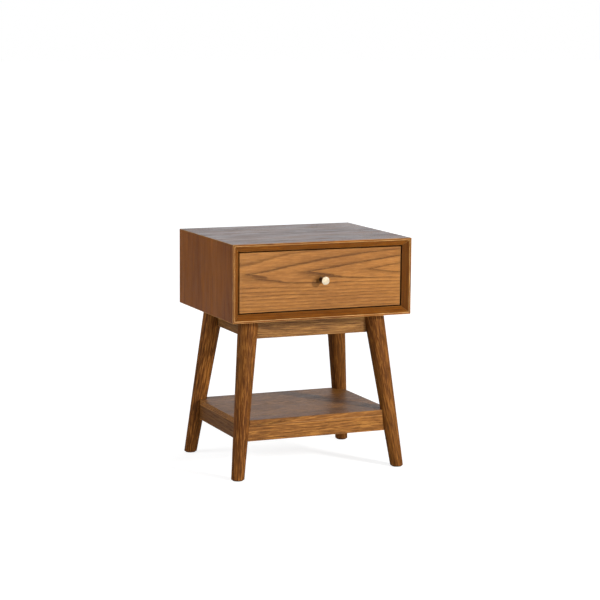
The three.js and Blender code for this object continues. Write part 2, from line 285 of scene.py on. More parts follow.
plainWood = {"tightFrom": 400.0, "tighten": 0.0, "levelled": 1000.0, "pointed": 0.3}
woodLooks = {
    "case_stained_ash": {
        "light": tint(124, 70, 13), "dark": tint(100, 52, 7), "line": tint(69, 32, 3),
        "pale": tint(144, 83, 19), "pore": tint(38, 15, 1), "worn": tint(228, 180, 110),
        "ringWidth": 6.5, "waver": 5.0, "lineWidth": 0.18, "feather": 1.6,
        "lineStrength": 0.95, "fibre": 0.34, "glint": 0.25, "fleck": 0.42, "fleckRate": 5.0,
        "pores": 0.35, "wear": 0.62, "streaks": 0.34,
        "shine": 0.07, "rough": 0.37, "coat": 0.03, "bump": 0.00012,
    },
    "drawer_face_ash": {
        "light": tint(149, 98, 42), "dark": tint(129, 82, 33), "line": tint(77, 47, 21),
        "pale": tint(169, 119, 59), "pore": tint(51, 27, 9), "worn": tint(218, 167, 105),
        "ringWidth": 15.0, "tightFrom": 16.0, "tighten": 0.062, "levelled": 420.0, "waver": 7.5,
        "lineWidth": 0.2, "pointed": 0.8, "feather": 1.7,
        "lineStrength": 1.0, "fibre": 0.30, "glint": 0.35, "fleck": 0.22, "fleckRate": 5.0,
        "pores": 0.30, "wear": 0.15, "streaks": 0.12,
        "shine": 0.08, "rough": 0.42, "coat": 0.03, "bump": 0.00012,
    },
    "base_stained_oak": {
        "light": tint(131, 89, 44), "dark": tint(102, 66, 31), "line": tint(59, 36, 15),
        "pale": tint(159, 116, 61), "pore": tint(38, 21, 8), "worn": tint(186, 144, 103),
        "ringWidth": 3.8, "waver": 5.0, "lineWidth": 0.2, "feather": 2.2, "featherRate": 30.0,
        "lineStrength": 0.8, "fibre": 0.35, "glint": 0.35, "fleck": 0.55, "fleckRate": 22.0,
        "pores": 0.45, "wear": 0.4, "streaks": 0.2,
        "shine": 0.08, "rough": 0.50, "coat": 0.03, "bump": 0.00014,
    },
    "shelf_stained_oak": {
        "light": tint(144, 93, 41), "dark": tint(113, 69, 28), "line": tint(66, 39, 13),
        "pale": tint(175, 121, 55), "pore": tint(43, 24, 7), "worn": tint(204, 151, 95),
        "ringWidth": 5.6, "waver": 6.0, "lineWidth": 0.22, "feather": 3.6, "featherRate": 45.0,
        "lineStrength": 1.0, "fibre": 0.35, "glint": 0.35, "fleck": 0.5, "fleckRate": 26.0,
        "pores": 0.45, "wear": 0.4, "streaks": 0.2,
        "shine": 0.08, "rough": 0.50, "coat": 0.03, "bump": 0.00014,
    },
    "leg_stained_oak": {
        "light": tint(126, 78, 30), "dark": tint(99, 56, 20), "line": tint(58, 31, 9),
        "pale": tint(155, 100, 45), "pore": tint(39, 18, 6), "worn": tint(188, 145, 110),
        "ringWidth": 4.0, "waver": 6.0, "lineWidth": 0.22, "feather": 2.6, "featherRate": 45.0,
        "lineStrength": 0.85, "fibre": 0.45, "glint": 0.4, "fleck": 0.72, "fleckRate": 30.0,
        "pores": 0.45, "wear": 0.4, "streaks": 0.12,
        "shine": 0.05, "rough": 0.58, "coat": 0.0, "bump": 0.00014,
    },
    "drawer_box_beech": {
        "light": tint(214, 182, 138), "dark": tint(196, 160, 114), "line": tint(158, 120, 78),
        "pale": tint(226, 198, 158), "pore": tint(128, 92, 58), "worn": tint(230, 206, 168),
        "ringWidth": 3.2, "waver": 4.0, "lineWidth": 0.2, "feather": 1.8,
        "lineStrength": 0.35, "fibre": 0.2, "glint": 0.2, "fleck": 0.15, "fleckRate": 13.0,
        "pores": 0.25, "wear": 0.3, "streaks": 0.12,
        "shine": 0.4, "rough": 0.52, "coat": 0.0, "bump": 0.00008,
    },
    "corner_block_pine": {
        "light": tint(206, 168, 116), "dark": tint(190, 148, 96), "line": tint(150, 100, 54),
        "pale": tint(222, 190, 142), "pore": tint(132, 88, 48), "worn": tint(224, 194, 150),
        "ringWidth": 3.6, "waver": 3.0, "lineWidth": 0.24, "feather": 1.0,
        "lineStrength": 0.55, "fibre": 0.15, "glint": 0.15, "fleck": 0.10, "fleckRate": 13.0,
        "pores": 0.1, "wear": 0.2, "streaks": 0.12,
        "shine": 0.3, "rough": 0.66, "coat": 0.0, "bump": 0.0001,
    },
}
woods = {name: woodFinish(name, plainWood | look) for name, look in woodLooks.items()}


def plyFinish(name, look):
    material, bench, shader = newFinish(name, {"Specular IOR Level": 0.35})
    grain = bench.put("ShaderNodeAttribute", {"attribute_name": "grain"}, output="Vector")
    parts = bench.put("ShaderNodeSeparateXYZ", {}, {0: grain})
    # thin sheets, dark and light by turns, show on the edges
    sheet = bench.maths("FLOOR", parts.out("Z") * (1000.0 / look["sheet"]))
    cross = bench.maths("MODULO", bench.maths("ABSOLUTE", sheet), 2.0)
    fibre = noiseOn(bench, grain, (12.0, 420.0, 60.0), 4.0, 0.6, 3.0)
    flame = noiseOn(bench, grain, (4.0, 38.0, 38.0), 4.0, 0.6, 9.0)
    tone = between(bench, flame, 0.35, 0.7)
    colour = blend(bench, tone, look["dark"], look["light"])
    colour = blend(bench, between(bench, fibre, 0.35, 0.7) * 0.3, colour, look["line"])
    colour = blend(bench, cross * 0.35, colour, look["line"])
    dull = noiseOn(bench, grain, (20.0, 60.0, 60.0), 2.0, 0.5, 13.0)
    feed(bench, shader, Base_Color=colour, Roughness=0.55 + (dull - 0.5) * 0.15 + fibre * 0.05,
         Normal=bumpOf(bench, fibre, 0.00006))
    return material


plyLook = {
    "light": tint(176, 128, 84), "dark": tint(152, 106, 66), "line": tint(112, 74, 44),
    "sheet": 1.3,  # mm thick
}
woods["panel_birch_ply"] = plyFinish("panel_birch_ply", plyLook)
print("wood finishes made:", len(woods))


# Metal and plastic finishes

def brassFinish():
    look = {
        "face": tint(140, 133, 118), "shade": tint(128, 115, 94), "neckPaintedShade": tint(84, 54, 28),
        "neckPaintedShadeDepth": 0.9, "neckPaintedShadeFrom": 3.0 * mm, "neckPaintedShadeTo": 6.0 * mm,
        "turning": 2600.0, "feeding": 900.0, "rough": 0.42, "bump": 0.00001,
    }
    material, bench, shader = newFinish("knob_satin_brass", {"Metallic": 1.0})
    place = bench.put("ShaderNodeTexCoord", {}, output="Object")
    centred = bench.put("ShaderNodeMapping", {}, {0: place, "Location": (0.0, 0.0, -knobHeight)})
    parts = bench.put("ShaderNodeSeparateXYZ", {}, {0: centred})
    out = bench.maths("SQRT", parts.out("X") * parts.out("X") + parts.out("Z") * parts.out("Z"))
    # fine rings left by the lathe
    toolSteps = {0: out * look["turning"], 1: parts.out("Y") * look["feeding"]}
    toolPath = bench.put("ShaderNodeCombineXYZ", {}, toolSteps)
    ringMarks = bench.put("ShaderNodeTexNoise", {}, {"Vector": toolPath, "Scale": 1.0, "Detail": 3.0})
    handled = noiseOn(bench, place, 240.0, 3.0, 0.6)
    colour = blend(bench, between(bench, handled, 0.3, 0.75), look["shade"], look["face"])
    # painted shade and painted dark reflection on the neck, behind the face
    neckPaintedShadeFrom, neckPaintedShadeTo = knobLow.y + look["neckPaintedShadeFrom"], knobLow.y + look["neckPaintedShadeTo"]
    behind = between(bench, parts.out("Y"), neckPaintedShadeFrom, neckPaintedShadeTo)
    colour = blend(bench, behind * look["neckPaintedShadeDepth"], colour, look["neckPaintedShade"])
    feed(bench, shader, Base_Color=colour,
         Roughness=look["rough"] + (handled - 0.5) * 0.08 + (ringMarks - 0.5) * 0.06,
         Normal=bumpOf(bench, ringMarks, look["bump"]))
    return material


def steelFinish(name, look):
    material, bench, shader = newFinish(name, {"Metallic": 1.0})
    place = bench.put("ShaderNodeTexCoord", {}, output="Object")
    drawn = noiseOn(bench, place, look["brush"], 3.0, 0.6)
    cloud = noiseOn(bench, place, 90.0, 4.0, 0.6, 5.0)
    colour = blend(bench, between(bench, cloud, 0.3, 0.7), look["dark"], look["light"])
    feed(bench, shader, Base_Color=colour,
         Roughness=look["rough"] + (cloud - 0.5) * 0.2 + (drawn - 0.5) * 0.12,
         Normal=bumpOf(bench, drawn, 0.00003))
    return material


def nylonFinish():
    look = {"light": tint(62, 52, 42), "dark": tint(44, 36, 29), "rough": 0.55}
    material, bench, shader = newFinish("glide_dark_nylon", {"Specular IOR Level": 0.4})
    place = bench.put("ShaderNodeTexCoord", {}, output="Object")
    speck = noiseOn(bench, place, 2200.0, 2.0, 0.6)
    scuff = noiseOn(bench, place, 160.0, 4.0, 0.65, 3.0)
    colour = blend(bench, between(bench, scuff, 0.35, 0.7), look["dark"], look["light"])
    feed(bench, shader, Base_Color=colour, Roughness=look["rough"] + (scuff - 0.5) * 0.3,
         Normal=bumpOf(bench, speck, 0.00005))
    return material


steelLooks = {
    "slide_zinc_steel": {
        "light": tint(196, 198, 200), "dark": tint(168, 171, 176), "rough": 0.34,
        "brush": (500.0, 8.0, 500.0),
    },
    "screw_zinc_steel": {
        "light": tint(202, 200, 192), "dark": tint(170, 168, 160), "rough": 0.30,
        "brush": (700.0, 700.0, 700.0),
    },
}
brass = brassFinish()
steels = {name: steelFinish(name, look) for name, look in steelLooks.items()}
nylon = nylonFinish()
print("metal and nylon finishes made")


# What every piece is made with

def newObject(name, data):
    made = bpy.data.objects.new(name, data)
    scene.collection.objects.link(made)
    return made


def newPiece(name, mesh, body, nodes, material):
    piece = newObject(name, mesh)
    if material is not None:
        piece.data.materials.clear()
        piece.data.materials.append(material)
    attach(piece, body)
    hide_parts(*nodes)


def evaluatedMesh(name, carrier):
    # the carrier's modifiers become a plain mesh, and the carrier goes
    bpy.context.view_layer.update()
    graph = bpy.context.evaluated_depsgraph_get()
    mesh = bpy.data.meshes.new_from_object(carrier.evaluated_get(graph))
    mesh.name = name
    bpy.data.objects.remove(carrier)
    return mesh


seedStep = 1.73  # metres along the grain between one board's figure and the next
bevelPaintedSheen = 0.05  # least painted sheen on the bevel round the drawer, through the edge attribute


def setGrain(mesh, board, seed):
    # board: along and face are unit directions; heart is how far the log's heart lies across
    # and behind the middle of the face, in metres; lean tilts the heart along the board
    alongAxis = np.array(board["along"], float)
    faceAxis = np.array(board["face"], float)
    acrossAxis = np.cross(faceAxis, alongAxis)
    count = len(mesh.vertices)
    places = np.empty(count * 3)
    mesh.vertices.foreach_get("co", places)
    places = places.reshape(-1, 3) - np.array(board["middle"], float)
    along = places @ alongAxis
    across = places @ acrossAxis - board["heart"][0]
    inwards = -(places @ faceAxis)
    depth = board["heart"][1] - inwards - board["lean"] * along
    grain = np.column_stack([along + seed * seedStep, across, depth]).astype(np.float32)
    layer = mesh.attributes.new("grain", "FLOAT_VECTOR", "POINT")
    layer.data.foreach_set("vector", grain.ravel())
    # how much darker each board is painted: the whole board by its own amount, and painted shade on its
    # hidden side, in the gap round the drawer
    shade = np.full(count, board.get("shade", 0.0))
    if "hiddenFrom" in board:
        shade[inwards > board["hiddenFrom"]] = board["hiddenShade"]
    if "bevelFrom" in board:
        # the bevel is painted darker than the rim (painted shade), and takes a little painted sheen through
        # the edge attribute
        bevel = (inwards > board["bevelFrom"]) & (inwards <= board["hiddenFrom"])
        shade[bevel] = board["bevelShade"]
        wearAndSheen = np.empty(count, np.float32)
        mesh.attributes["edge"].data.foreach_get("value", wearAndSheen)
        wearAndSheen[bevel] = np.maximum(wearAndSheen[bevel], bevelPaintedSheen)
        mesh.attributes["edge"].data.foreach_set("value", wearAndSheen)
    layer = mesh.attributes.new("shade", "FLOAT", "POINT")
    layer.data.foreach_set("value", shade.astype(np.float32))


easing = {
    "merge": 2e-6, "sameFlat": 0.6, "sharpFrom": 25, "shortest": 6 * mm, "segments": 3,
    "slantedShare": 0.3,  # mitres and tapers are rounded less than the long arrises
    "flatFrom": 0.99995,  # how alike two normals are on one flat face
}


def setEdge(mesh, flatNormals):
    # 1 on the points that only rounded-over faces share, 0 where a flat face begins
    onFlat = np.zeros(len(mesh.vertices), bool)
    for face in mesh.polygons:
        normal = np.array(face.normal)
        face.use_smooth = bool(np.max(flatNormals @ normal) <= easing["flatFrom"])
        if not face.use_smooth:
            onFlat[list(face.vertices)] = True
    layer = mesh.attributes.new("edge", "FLOAT", "POINT")
    layer.data.foreach_set("value", np.where(onFlat, 0.0, 1.0).astype(np.float32))


def easedMesh(node, name, ease):
    # a merged copy of the node's shape with its long arrises rounded over; joints stay tight
    source = frame["nodes"][node].data
    mesh = bpy.data.meshes.new(name)
    mesh.from_pydata([v.co for v in source.vertices], [], [list(f.vertices) for f in source.polygons])
    shape = bmesh.new()
    shape.from_mesh(mesh)
    bmesh.ops.remove_doubles(shape, verts=shape.verts, dist=easing["merge"])
    bmesh.ops.dissolve_limit(
        shape, angle_limit=math.radians(easing["sameFlat"]), verts=shape.verts, edges=shape.edges)
    weights = shape.edges.layers.float.new("bevel_weight_edge")
    for edge in shape.edges:
        if not edge.is_manifold or edge.calc_face_angle(0.0) < math.radians(easing["sharpFrom"]):
            continue
        if edge.calc_length() < easing["shortest"]:
            continue
        way = (edge.verts[1].co - edge.verts[0].co).normalized()
        slanted = sum(abs(part) > 0.05 for part in way) > 1
        edge[weights] = easing["slantedShare"] if slanted else 1.0
    flatNormals = np.array([list(face.normal) for face in shape.faces])
    for face in shape.faces:
        face.smooth = True
    shape.to_mesh(mesh)
    shape.free()
    carrier = newObject(name, mesh)
    bevel = carrier.modifiers.new("eased", "BEVEL")
    bevel.limit_method = "WEIGHT"
    bevel.width = ease
    bevel.segments = easing["segments"]
    bevel.use_clamp_overlap = False
    eased = evaluatedMesh(name, carrier)
    setEdge(eased, flatNormals)
    return eased


def bodyOf(node):
    return frame["nodes"][node]["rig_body"]


front, back, left, right, up, down = (0, -1, 0), (0, 1, 0), (-1, 0, 0), (1, 0, 0), (0, 0, 1), (0, 0, -1)
widthways, depthways, upright = (1, 0, 0), (0, 1, 0), (0, 0, 1)


def faceMiddle(node, face):
    # the middle of the side of the node's box that looks the way face says
    low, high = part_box(node)
    middle = (low + high) / 2
    half = (high - low) / 2
    return [middle[i] + face[i] * half[i] for i in range(3)]


# Wooden boards
# name: (finish, slot, grain direction, show face, heart across and behind in mm, lean, ease in mm)

boards = {
    "top_panel": ("case_stained_ash", "case_wood", widthways, up, (25, 38), 0.09, 0.9),
    "bottom_panel": ("case_stained_ash", "case_wood", widthways, down, (60, 60), 0.05, 0.9),
    "left_side": ("case_stained_ash", "case_wood", upright, left, (230, 90), 0.02, 0.9),
    "right_side": ("case_stained_ash", "case_wood", upright, right, (-230, 90), 0.02, 0.9),
    "drawer_front": ("drawer_face_ash", "drawer_front_wood", widthways, front, (20, 27.8), 0.098, 1.0),
    "drawer_side_left": ("drawer_box_beech", "drawer_box_wood", depthways, left, (20, 50), 0.04, 1.2),
    "drawer_side_right": ("drawer_box_beech", "drawer_box_wood", depthways, right, (-15, 60), 0.05, 1.2),
    "drawer_box_front": ("drawer_box_beech", "drawer_box_wood", widthways, back, (10, 55), 0.05, 1.0),
    "drawer_box_back": ("drawer_box_beech", "drawer_box_wood", widthways, front, (-20, 45), 0.06, 1.0),
    "back_panel": ("panel_birch_ply", "panel_ply", widthways, back, (0, 0), 0.0, 0.3),
    "drawer_bottom": ("panel_birch_ply", "panel_ply", widthways, up, (0, 0), 0.0, 0.3),
    "shelf_board": ("shelf_stained_oak", "base_wood", widthways, up, (15, 50), 0.08, 1.0),
    "apron_front": ("base_stained_oak", "base_wood", widthways, front, (70, 60), 0.03, 1.2),
    "apron_back": ("base_stained_oak", "base_wood", widthways, back, (-50, 50), 0.05, 1.2),
    "apron_left": ("base_stained_oak", "base_wood", depthways, left, (60, 60), 0.04, 1.2),
    "apron_right": ("base_stained_oak", "base_wood", depthways, right, (60, 60), 0.05, 1.2),
    "shelf_rail_front": ("shelf_stained_oak", "base_wood", widthways, front, (-70, 50), 0.03, 1.0),
    "shelf_rail_back": ("shelf_stained_oak", "base_wood", widthways, back, (40, 60), 0.05, 1.0),
    "shelf_rail_left": ("shelf_stained_oak", "base_wood", depthways, left, (50, 50), 0.04, 1.0),
    "shelf_rail_right": ("shelf_stained_oak", "base_wood", depthways, right, (50, 50), 0.05, 1.0),
    "corner_block_front_left": ("corner_block_pine", "block_wood", widthways, down, (30, 30), 0.05, 0.8),
    "corner_block_front_right": ("corner_block_pine", "block_wood", widthways, down, (20, 40), 0.04, 0.8),
    "corner_block_back_left": ("corner_block_pine", "block_wood", widthways, down, (35, 30), 0.05, 0.8),
    "corner_block_back_right": ("corner_block_pine", "block_wood", widthways, down, (-30, 35), 0.05, 0.8),
}
darker = {  # pieces painted darker: painted shade on the left-facing apron and shelf rail; each leg darker by its own amount
    "shelf_rail_left": 0.62, "apron_left": 0.3,
    "leg_front_left": 0.21, "leg_front_right": 0.21, "leg_back_right": 0.38,
}
# painted shade in the gap round the drawer: the drawer front's edges and the case's inner faces are painted
# dark, and each bevel round the drawer is painted darker by its own amount
bevelShade = {"top_panel": 0.24, "bottom_panel": 0.10, "left_side": 0.42, "right_side": 0.46}
paintedShadePlans = {"drawer_front": {"hiddenFrom": 0.15 * mm, "hiddenShade": 0.66}}
for node, shade in bevelShade.items():
    paintedShadePlans[node] = {
        "hiddenFrom": panelThickness - 0.4 * mm, "hiddenShade": 0.9,
        "bevelFrom": 4.0 * mm, "bevelShade": shade,
    }
for number, (node, plan) in enumerate(boards.items()):
    finish, slot, along, face, heart, lean, ease = plan
    mesh = easedMesh(node, "wood_" + node, ease * mm)
    board = {
        "along": along, "face": face, "middle": faceMiddle(node, face),
        "heart": (heart[0] * mm, heart[1] * mm), "lean": lean, "shade": darker.get(node, 0.0),
    }
    board.update(paintedShadePlans.get(node, {}))
    setGrain(mesh, board, number + 1)
    newPiece("wood_" + node, mesh, bodyOf(node), [node], woods[finish])
print("wooden boards made:", len(boards))


# Legs: round, tapered, splayed both ways, cut level top and bottom

corners = ("front_left", "front_right", "back_left", "back_right")
legShape = {"sides": 96, "rows": 64, "footEase": 1.8 * mm, "easeShare": 0.12, "sharpFrom": 40}
legLogs = {  # heart across and behind in mm, then lean
    "front_left": (38, 26, 0.05), "front_right": (29, 33, 0.03),
    "back_left": (20, 40, 0.01), "back_right": (11, 47, -0.01),
}
levelWithin = 0.02 * mm  # points this close in height are on the same end of a leg
legFigureWay = Vector((0.35, 1.0, 0.0))  # level, and square to the way the show face looks
legSeed = 40  # the first leg's seed, well clear of the boards'


def legPlan(node):
    # the cone's middle and reach at its two ends, from the node's own points
    points = np.array([v.co for v in frame["nodes"][node].data.vertices])
    ends = {}
    for label, level in (("foot", points[:, 2].min()), ("top", points[:, 2].max())):
        ring = points[np.abs(points[:, 2] - level) < levelWithin]
        low, high = ring.min(0), ring.max(0)
        ends[label] = ((low[0] + high[0]) / 2, (low[1] + high[1]) / 2, level)
        ends[label + "Reach"] = ((high[0] - low[0]) / 2, (high[1] - low[1]) / 2)
    return ends


def newTree(name, inputs):
    # a Geometry Nodes tree with these named inputs, and its bench
    tree = bpy.data.node_groups.new(name, "GeometryNodeTree")
    tree.interface.new_socket("Geometry", in_out="OUTPUT", socket_type="NodeSocketGeometry")
    for label, kind in inputs.items():
        tree.interface.new_socket(label, in_out="INPUT", socket_type="NodeSocket" + kind)
    return tree, Bench(tree)


def finishTree(bench, geometry, given):
    real = bench.put("GeometryNodeRealizeInstances", {}, {0: geometry})
    done = bench.put("GeometryNodeSetMaterial", {}, {"Geometry": real, "Material": given.out("Material")})
    bench.put("NodeGroupOutput", {}, {0: done})


def legTree():
    tree, bench = newTree("tapered_leg", {
        "Foot": "Vector", "Top": "Vector", "Foot Reach": "Vector", "Top Reach": "Vector",
        "Ease": "Float", "Ease Share": "Float", "Sides": "Int", "Rows": "Int", "Material": "Material",
    })
    given = bench.put("NodeGroupInput")
    line = bench.put("GeometryNodeCurvePrimitiveLine", {}, {"Start": (0, 0, 0), "End": (0, 0, 1)})
    rows = bench.put("GeometryNodeResampleCurve", {}, {"Curve": line, "Count": given.out("Rows")})
    turned = bench.put("GeometryNodeCurvePrimitiveCircle", {}, {
        "Resolution": given.out("Sides"), "Radius": 1.0})
    skin = bench.put("GeometryNodeCurveToMesh", {}, {
        "Curve": rows, "Profile Curve": turned, "Fill Caps": True})
    # the tube is one metre long and one in radius; the foot's ease takes the first share of its rows
    place = bench.put("ShaderNodeSeparateXYZ", {}, {0: bench.put("GeometryNodeInputPosition")})
    share = place.out("Z")
    quarter = bench.maths("MINIMUM", share / given.out("Ease Share"), 1.0) * (math.pi / 2)
    straight = bench.maths("MAXIMUM", share - given.out("Ease Share"), 0.0)
    straight = straight / (1.0 - given.out("Ease Share"))
    foot = bench.put("ShaderNodeSeparateXYZ", {}, {0: given.out("Foot")})
    top = bench.put("ShaderNodeSeparateXYZ", {}, {0: given.out("Top")})
    footReach = bench.put("ShaderNodeSeparateXYZ", {}, {0: given.out("Foot Reach")})
    topReach = bench.put("ShaderNodeSeparateXYZ", {}, {0: given.out("Top Reach")})
    ease = given.out("Ease")
    length = top.out("Z") - foot.out("Z")
    rise = ease * (1.0 - bench.maths("COSINE", quarter)) + straight * (length - ease)
    pull = ease * (1.0 - bench.maths("SINE", quarter))
    climbed = rise / length
    places = {}
    for axis in "XY":
        centre = foot.out(axis) + (top.out(axis) - foot.out(axis)) * climbed
        reach = footReach.out(axis) + (topReach.out(axis) - footReach.out(axis)) * climbed - pull
        places[axis] = centre + place.out(axis) * reach
    moved = bench.put("ShaderNodeCombineXYZ", {}, {
        0: places["X"], 1: places["Y"], 2: foot.out("Z") + rise})
    shaped = bench.put("GeometryNodeSetPosition", {}, {"Geometry": skin, "Position": moved})
    smooth = bench.put("GeometryNodeSetShadeSmooth", {}, {0: shaped})
    finishTree(bench, smooth, given)
    return tree


def setInputs(modifier, values):
    keys = {item.name: item.identifier for item in modifier.node_group.interface.items_tree
            if item.in_out == "INPUT"}
    for name, value in values.items():
        modifier[keys[name]] = value


legMaker = legTree()
for number, corner in enumerate(corners):
    node = "leg_" + corner
    plan = legPlan(node)
    carrier = newObject(node + "_carrier", bpy.data.meshes.new(node + "_carrier"))
    modifier = carrier.modifiers.new("leg", "NODES")
    modifier.node_group = legMaker
    setInputs(modifier, {
        "Foot": plan["foot"], "Top": plan["top"],
        "Foot Reach": (*plan["footReach"], 0.0), "Top Reach": (*plan["topReach"], 0.0),
        "Ease": legShape["footEase"], "Ease Share": legShape["easeShare"],
        "Sides": legShape["sides"], "Rows": legShape["rows"],
        "Material": woods["leg_stained_oak"],
    })
    mesh = evaluatedMesh("wood_" + node, carrier)
    mesh.set_sharp_from_angle(angle=math.radians(legShape["sharpFrom"]))
    foot, top = Vector(plan["foot"]), Vector(plan["top"])
    axis = (top - foot).normalized()
    heartAcross, heartBehind, lean = legLogs[corner]
    board = {
        "along": axis, "face": axis.cross(legFigureWay).normalized(), "middle": (top + foot) / 2,
        "heart": (heartAcross * mm, heartBehind * mm), "lean": lean, "shade": darker.get(node, 0.0),
    }
    setGrain(mesh, board, legSeed + number)
    mesh.attributes.new("edge", "FLOAT", "POINT")
    newPiece("wood_" + node, mesh, bodyOf(node), [node], None)
print("legs made")


# Round shapes: a skin over rings that run from pole to pole

def turnedRing(height, sides, reachAt):
    # reachAt gives the distance from the axis at each turn; a reach of nothing makes a pole
    if reachAt(0.0) == 0.0:
        return [(0, 0, height)]
    turns = [2 * math.pi * count / sides for count in range(sides)]
    return [(reachAt(turn) * math.cos(turn), reachAt(turn) * math.sin(turn), height) for turn in turns]


def skinnedMesh(name, rings, sharpFrom):
    # edges sharper than sharpFrom degrees stay crisp
    shape = bmesh.new()
    rows = [[shape.verts.new(point) for point in ring] for ring in rings]
    for lower, upper in zip(rows, rows[1:]):
        sides = max(len(lower), len(upper))
        for here in range(sides):
            ahead = (here + 1) % sides
            if len(lower) == 1:
                shape.faces.new((lower[0], upper[ahead], upper[here]))
            elif len(upper) == 1:
                shape.faces.new((lower[here], lower[ahead], upper[0]))
            else:
                shape.faces.new((lower[here], lower[ahead], upper[ahead], upper[here]))
    bmesh.ops.recalc_face_normals(shape, faces=shape.faces)
    for face in shape.faces:
        face.smooth = True
    mesh = bpy.data.meshes.new(name)
    shape.to_mesh(mesh)
    shape.free()
    mesh.set_sharp_from_angle(angle=math.radians(sharpFrom))
    return mesh


# Knob: turned from a bar, with a small foot, a neck and a cone that opens to a flat face

knobReach = (knobHigh.y - knobLow.y) / mm
knobRadius = (knobHigh.x - knobLow.x) / 2 / mm
knobShape = {
    "footRadius": 6.5, "footHeight": 1.6, "footFillet": 0.5, "footSlope": 0.6,
    "neckRadius": 4.7, "neckEnd": 11.0, "neckFillet": 2.4,
    "rim": 3.6, "cone": 1.4, "coneFillet": 0.8, "faceFillet": 0.7,
    "sides": 96, "arcSteps": 6, "sharpFrom": 50,
}
coneEnd = knobReach - knobShape["rim"] - knobShape["cone"]
knobOutline = [  # radius, distance out and fillet, in mm
    (0, 0, 0),
    (knobShape["footRadius"], 0, 0),
    (knobShape["footRadius"], knobShape["footHeight"], knobShape["footFillet"]),
    (knobShape["neckRadius"], knobShape["footHeight"] + knobShape["footSlope"], knobShape["footFillet"]),
    (knobShape["neckRadius"], knobShape["neckEnd"], knobShape["neckFillet"]),
    (knobRadius, coneEnd, knobShape["coneFillet"]),
    (knobRadius, knobReach, knobShape["faceFillet"]),
    (0, knobReach, 0),
]


def roundedOutline(points, steps):
    # each fillet becomes a short arc
    outline = []
    for index, (radius, out, fillet) in enumerate(points):
        here = Vector((radius, out))
        if fillet == 0:
            outline.append(here)
            continue
        before = (Vector(points[index - 1][:2]) - here).normalized()
        after = (Vector(points[index + 1][:2]) - here).normalized()
        start, end = here + before * fillet, here + after * fillet
        for step in range(steps + 1):
            share = step / steps
            bend = here * 2 * share * (1 - share)
            outline.append(start * (1 - share) ** 2 + bend + end * share ** 2)
    return outline


rings = []
for radius, out in roundedOutline(knobOutline, knobShape["arcSteps"]):
    rings.append(turnedRing(out * mm, knobShape["sides"], lambda turn: radius * mm))
knobMesh = skinnedMesh("knob_turned", rings, knobShape["sharpFrom"])
knobMesh.transform(Matrix.Translation((0, knobHigh.y, knobHeight)) @ Matrix.Rotation(math.pi / 2, 4, "X"))
newPiece("knob_turned", knobMesh, "drawer", ["knob"], brass)
print("knob made")


# Screws and bolts: one of each kind is modelled, and Geometry Nodes sets them out in their places

# radius of the shank and of the head, height of the head and length over all, in mm
frontScrew = {"radius": 1.9, "head": 3.9, "height": 2.4, "length": 28}
knobScrew = {"radius": 2.0, "head": 4.2, "height": 2.6, "length": 38}
baseScrew = {"radius": 2.2, "head": 4.5, "height": 3.0, "length": 42}
legBolt = {"radius": 3.0, "head": 6.0, "height": 4.5, "length": 74.5}
crossHead = [  # shares of the head's radius and height, and how deep the driver's hole is lobed
    (0.0, 0.62, 0.0), (0.12, 0.6, 0.5), (0.34, 0.12, 0.62), (0.38, 0.02, 0.62),
    (0.62, 0.015, 0.0), (0.82, 0.12, 0.0), (0.95, 0.36, 0.0), (1.0, 0.62, 0.0), (1.0, 1.0, 0.0),
]
screwSides, screwSharpFrom = 48, 35
boltSides, boltSharpFrom = 36, 20


def fastenerTree():
    tree, bench = newTree("fasteners_in_place", {
        "Geometry": "Geometry", "Fastener": "Object", "Material": "Material",
    })
    given = bench.put("NodeGroupInput")
    one = bench.put("GeometryNodeObjectInfo", {}, {0: given.out("Fastener")}, "Geometry")
    aim = bench.put("GeometryNodeInputNamedAttribute", {"data_type": "FLOAT_VECTOR"}, {"Name": "aim"})
    turn = bench.put("FunctionNodeAlignRotationToVector", {"axis": "Z"}, {"Vector": aim})
    placed = bench.put("GeometryNodeInstanceOnPoints", {}, {
        "Points": given, "Instance": one, "Rotation": turn})
    finishTree(bench, placed, given)
    return tree


def sizesOf(size):
    return (size[key] * mm for key in ("radius", "head", "height", "length"))


def crossHeadScrew(name, size):
    # a pan head at the start, with a four-lobed hole for the driver, then the shank
    radius, headRadius, headHeight, length = sizesOf(size)
    rows = [(headRadius * reach, headHeight * level, lobe) for reach, level, lobe in crossHead]
    rows += [(radius, headHeight, 0.0), (radius, length - radius * 2.5, 0.0), (0.0, length, 0.0)]
    rings = []
    for reach, height, lobe in rows:
        rings.append(turnedRing(
            height, screwSides, lambda turn: reach * (1 - lobe * 0.5 * (1 - math.cos(4 * turn)))))
    return newObject(name, skinnedMesh(name, rings, screwSharpFrom))


def hexBolt(name, size):
    # a hexagon head with a chamfered face at the start, then the shank
    radius, headRadius, headHeight, length = sizesOf(size)
    rows = [
        (0.0, 0.0, "round"), (headRadius * 0.86, 0.0, "chamfered"),
        (headRadius, headRadius * 0.12, "flats"), (headRadius, headHeight, "flats"),
        (radius, headHeight, "round"), (radius, length - radius, "round"),
        (radius * 0.7, length, "round"), (0.0, length, "round"),
    ]

    def reachAt(turn, reach, kind):
        flat = math.cos(math.pi / 6) / math.cos(turn % (math.pi / 3) - math.pi / 6)
        return {"round": reach, "flats": reach * flat, "chamfered": min(reach, headRadius * flat)}[kind]

    rings = []
    for reach, height, kind in rows:
        rings.append(turnedRing(height, boltSides, lambda turn: reachAt(turn, reach, kind)))
    return newObject(name, skinnedMesh(name, rings, boltSharpFrom))


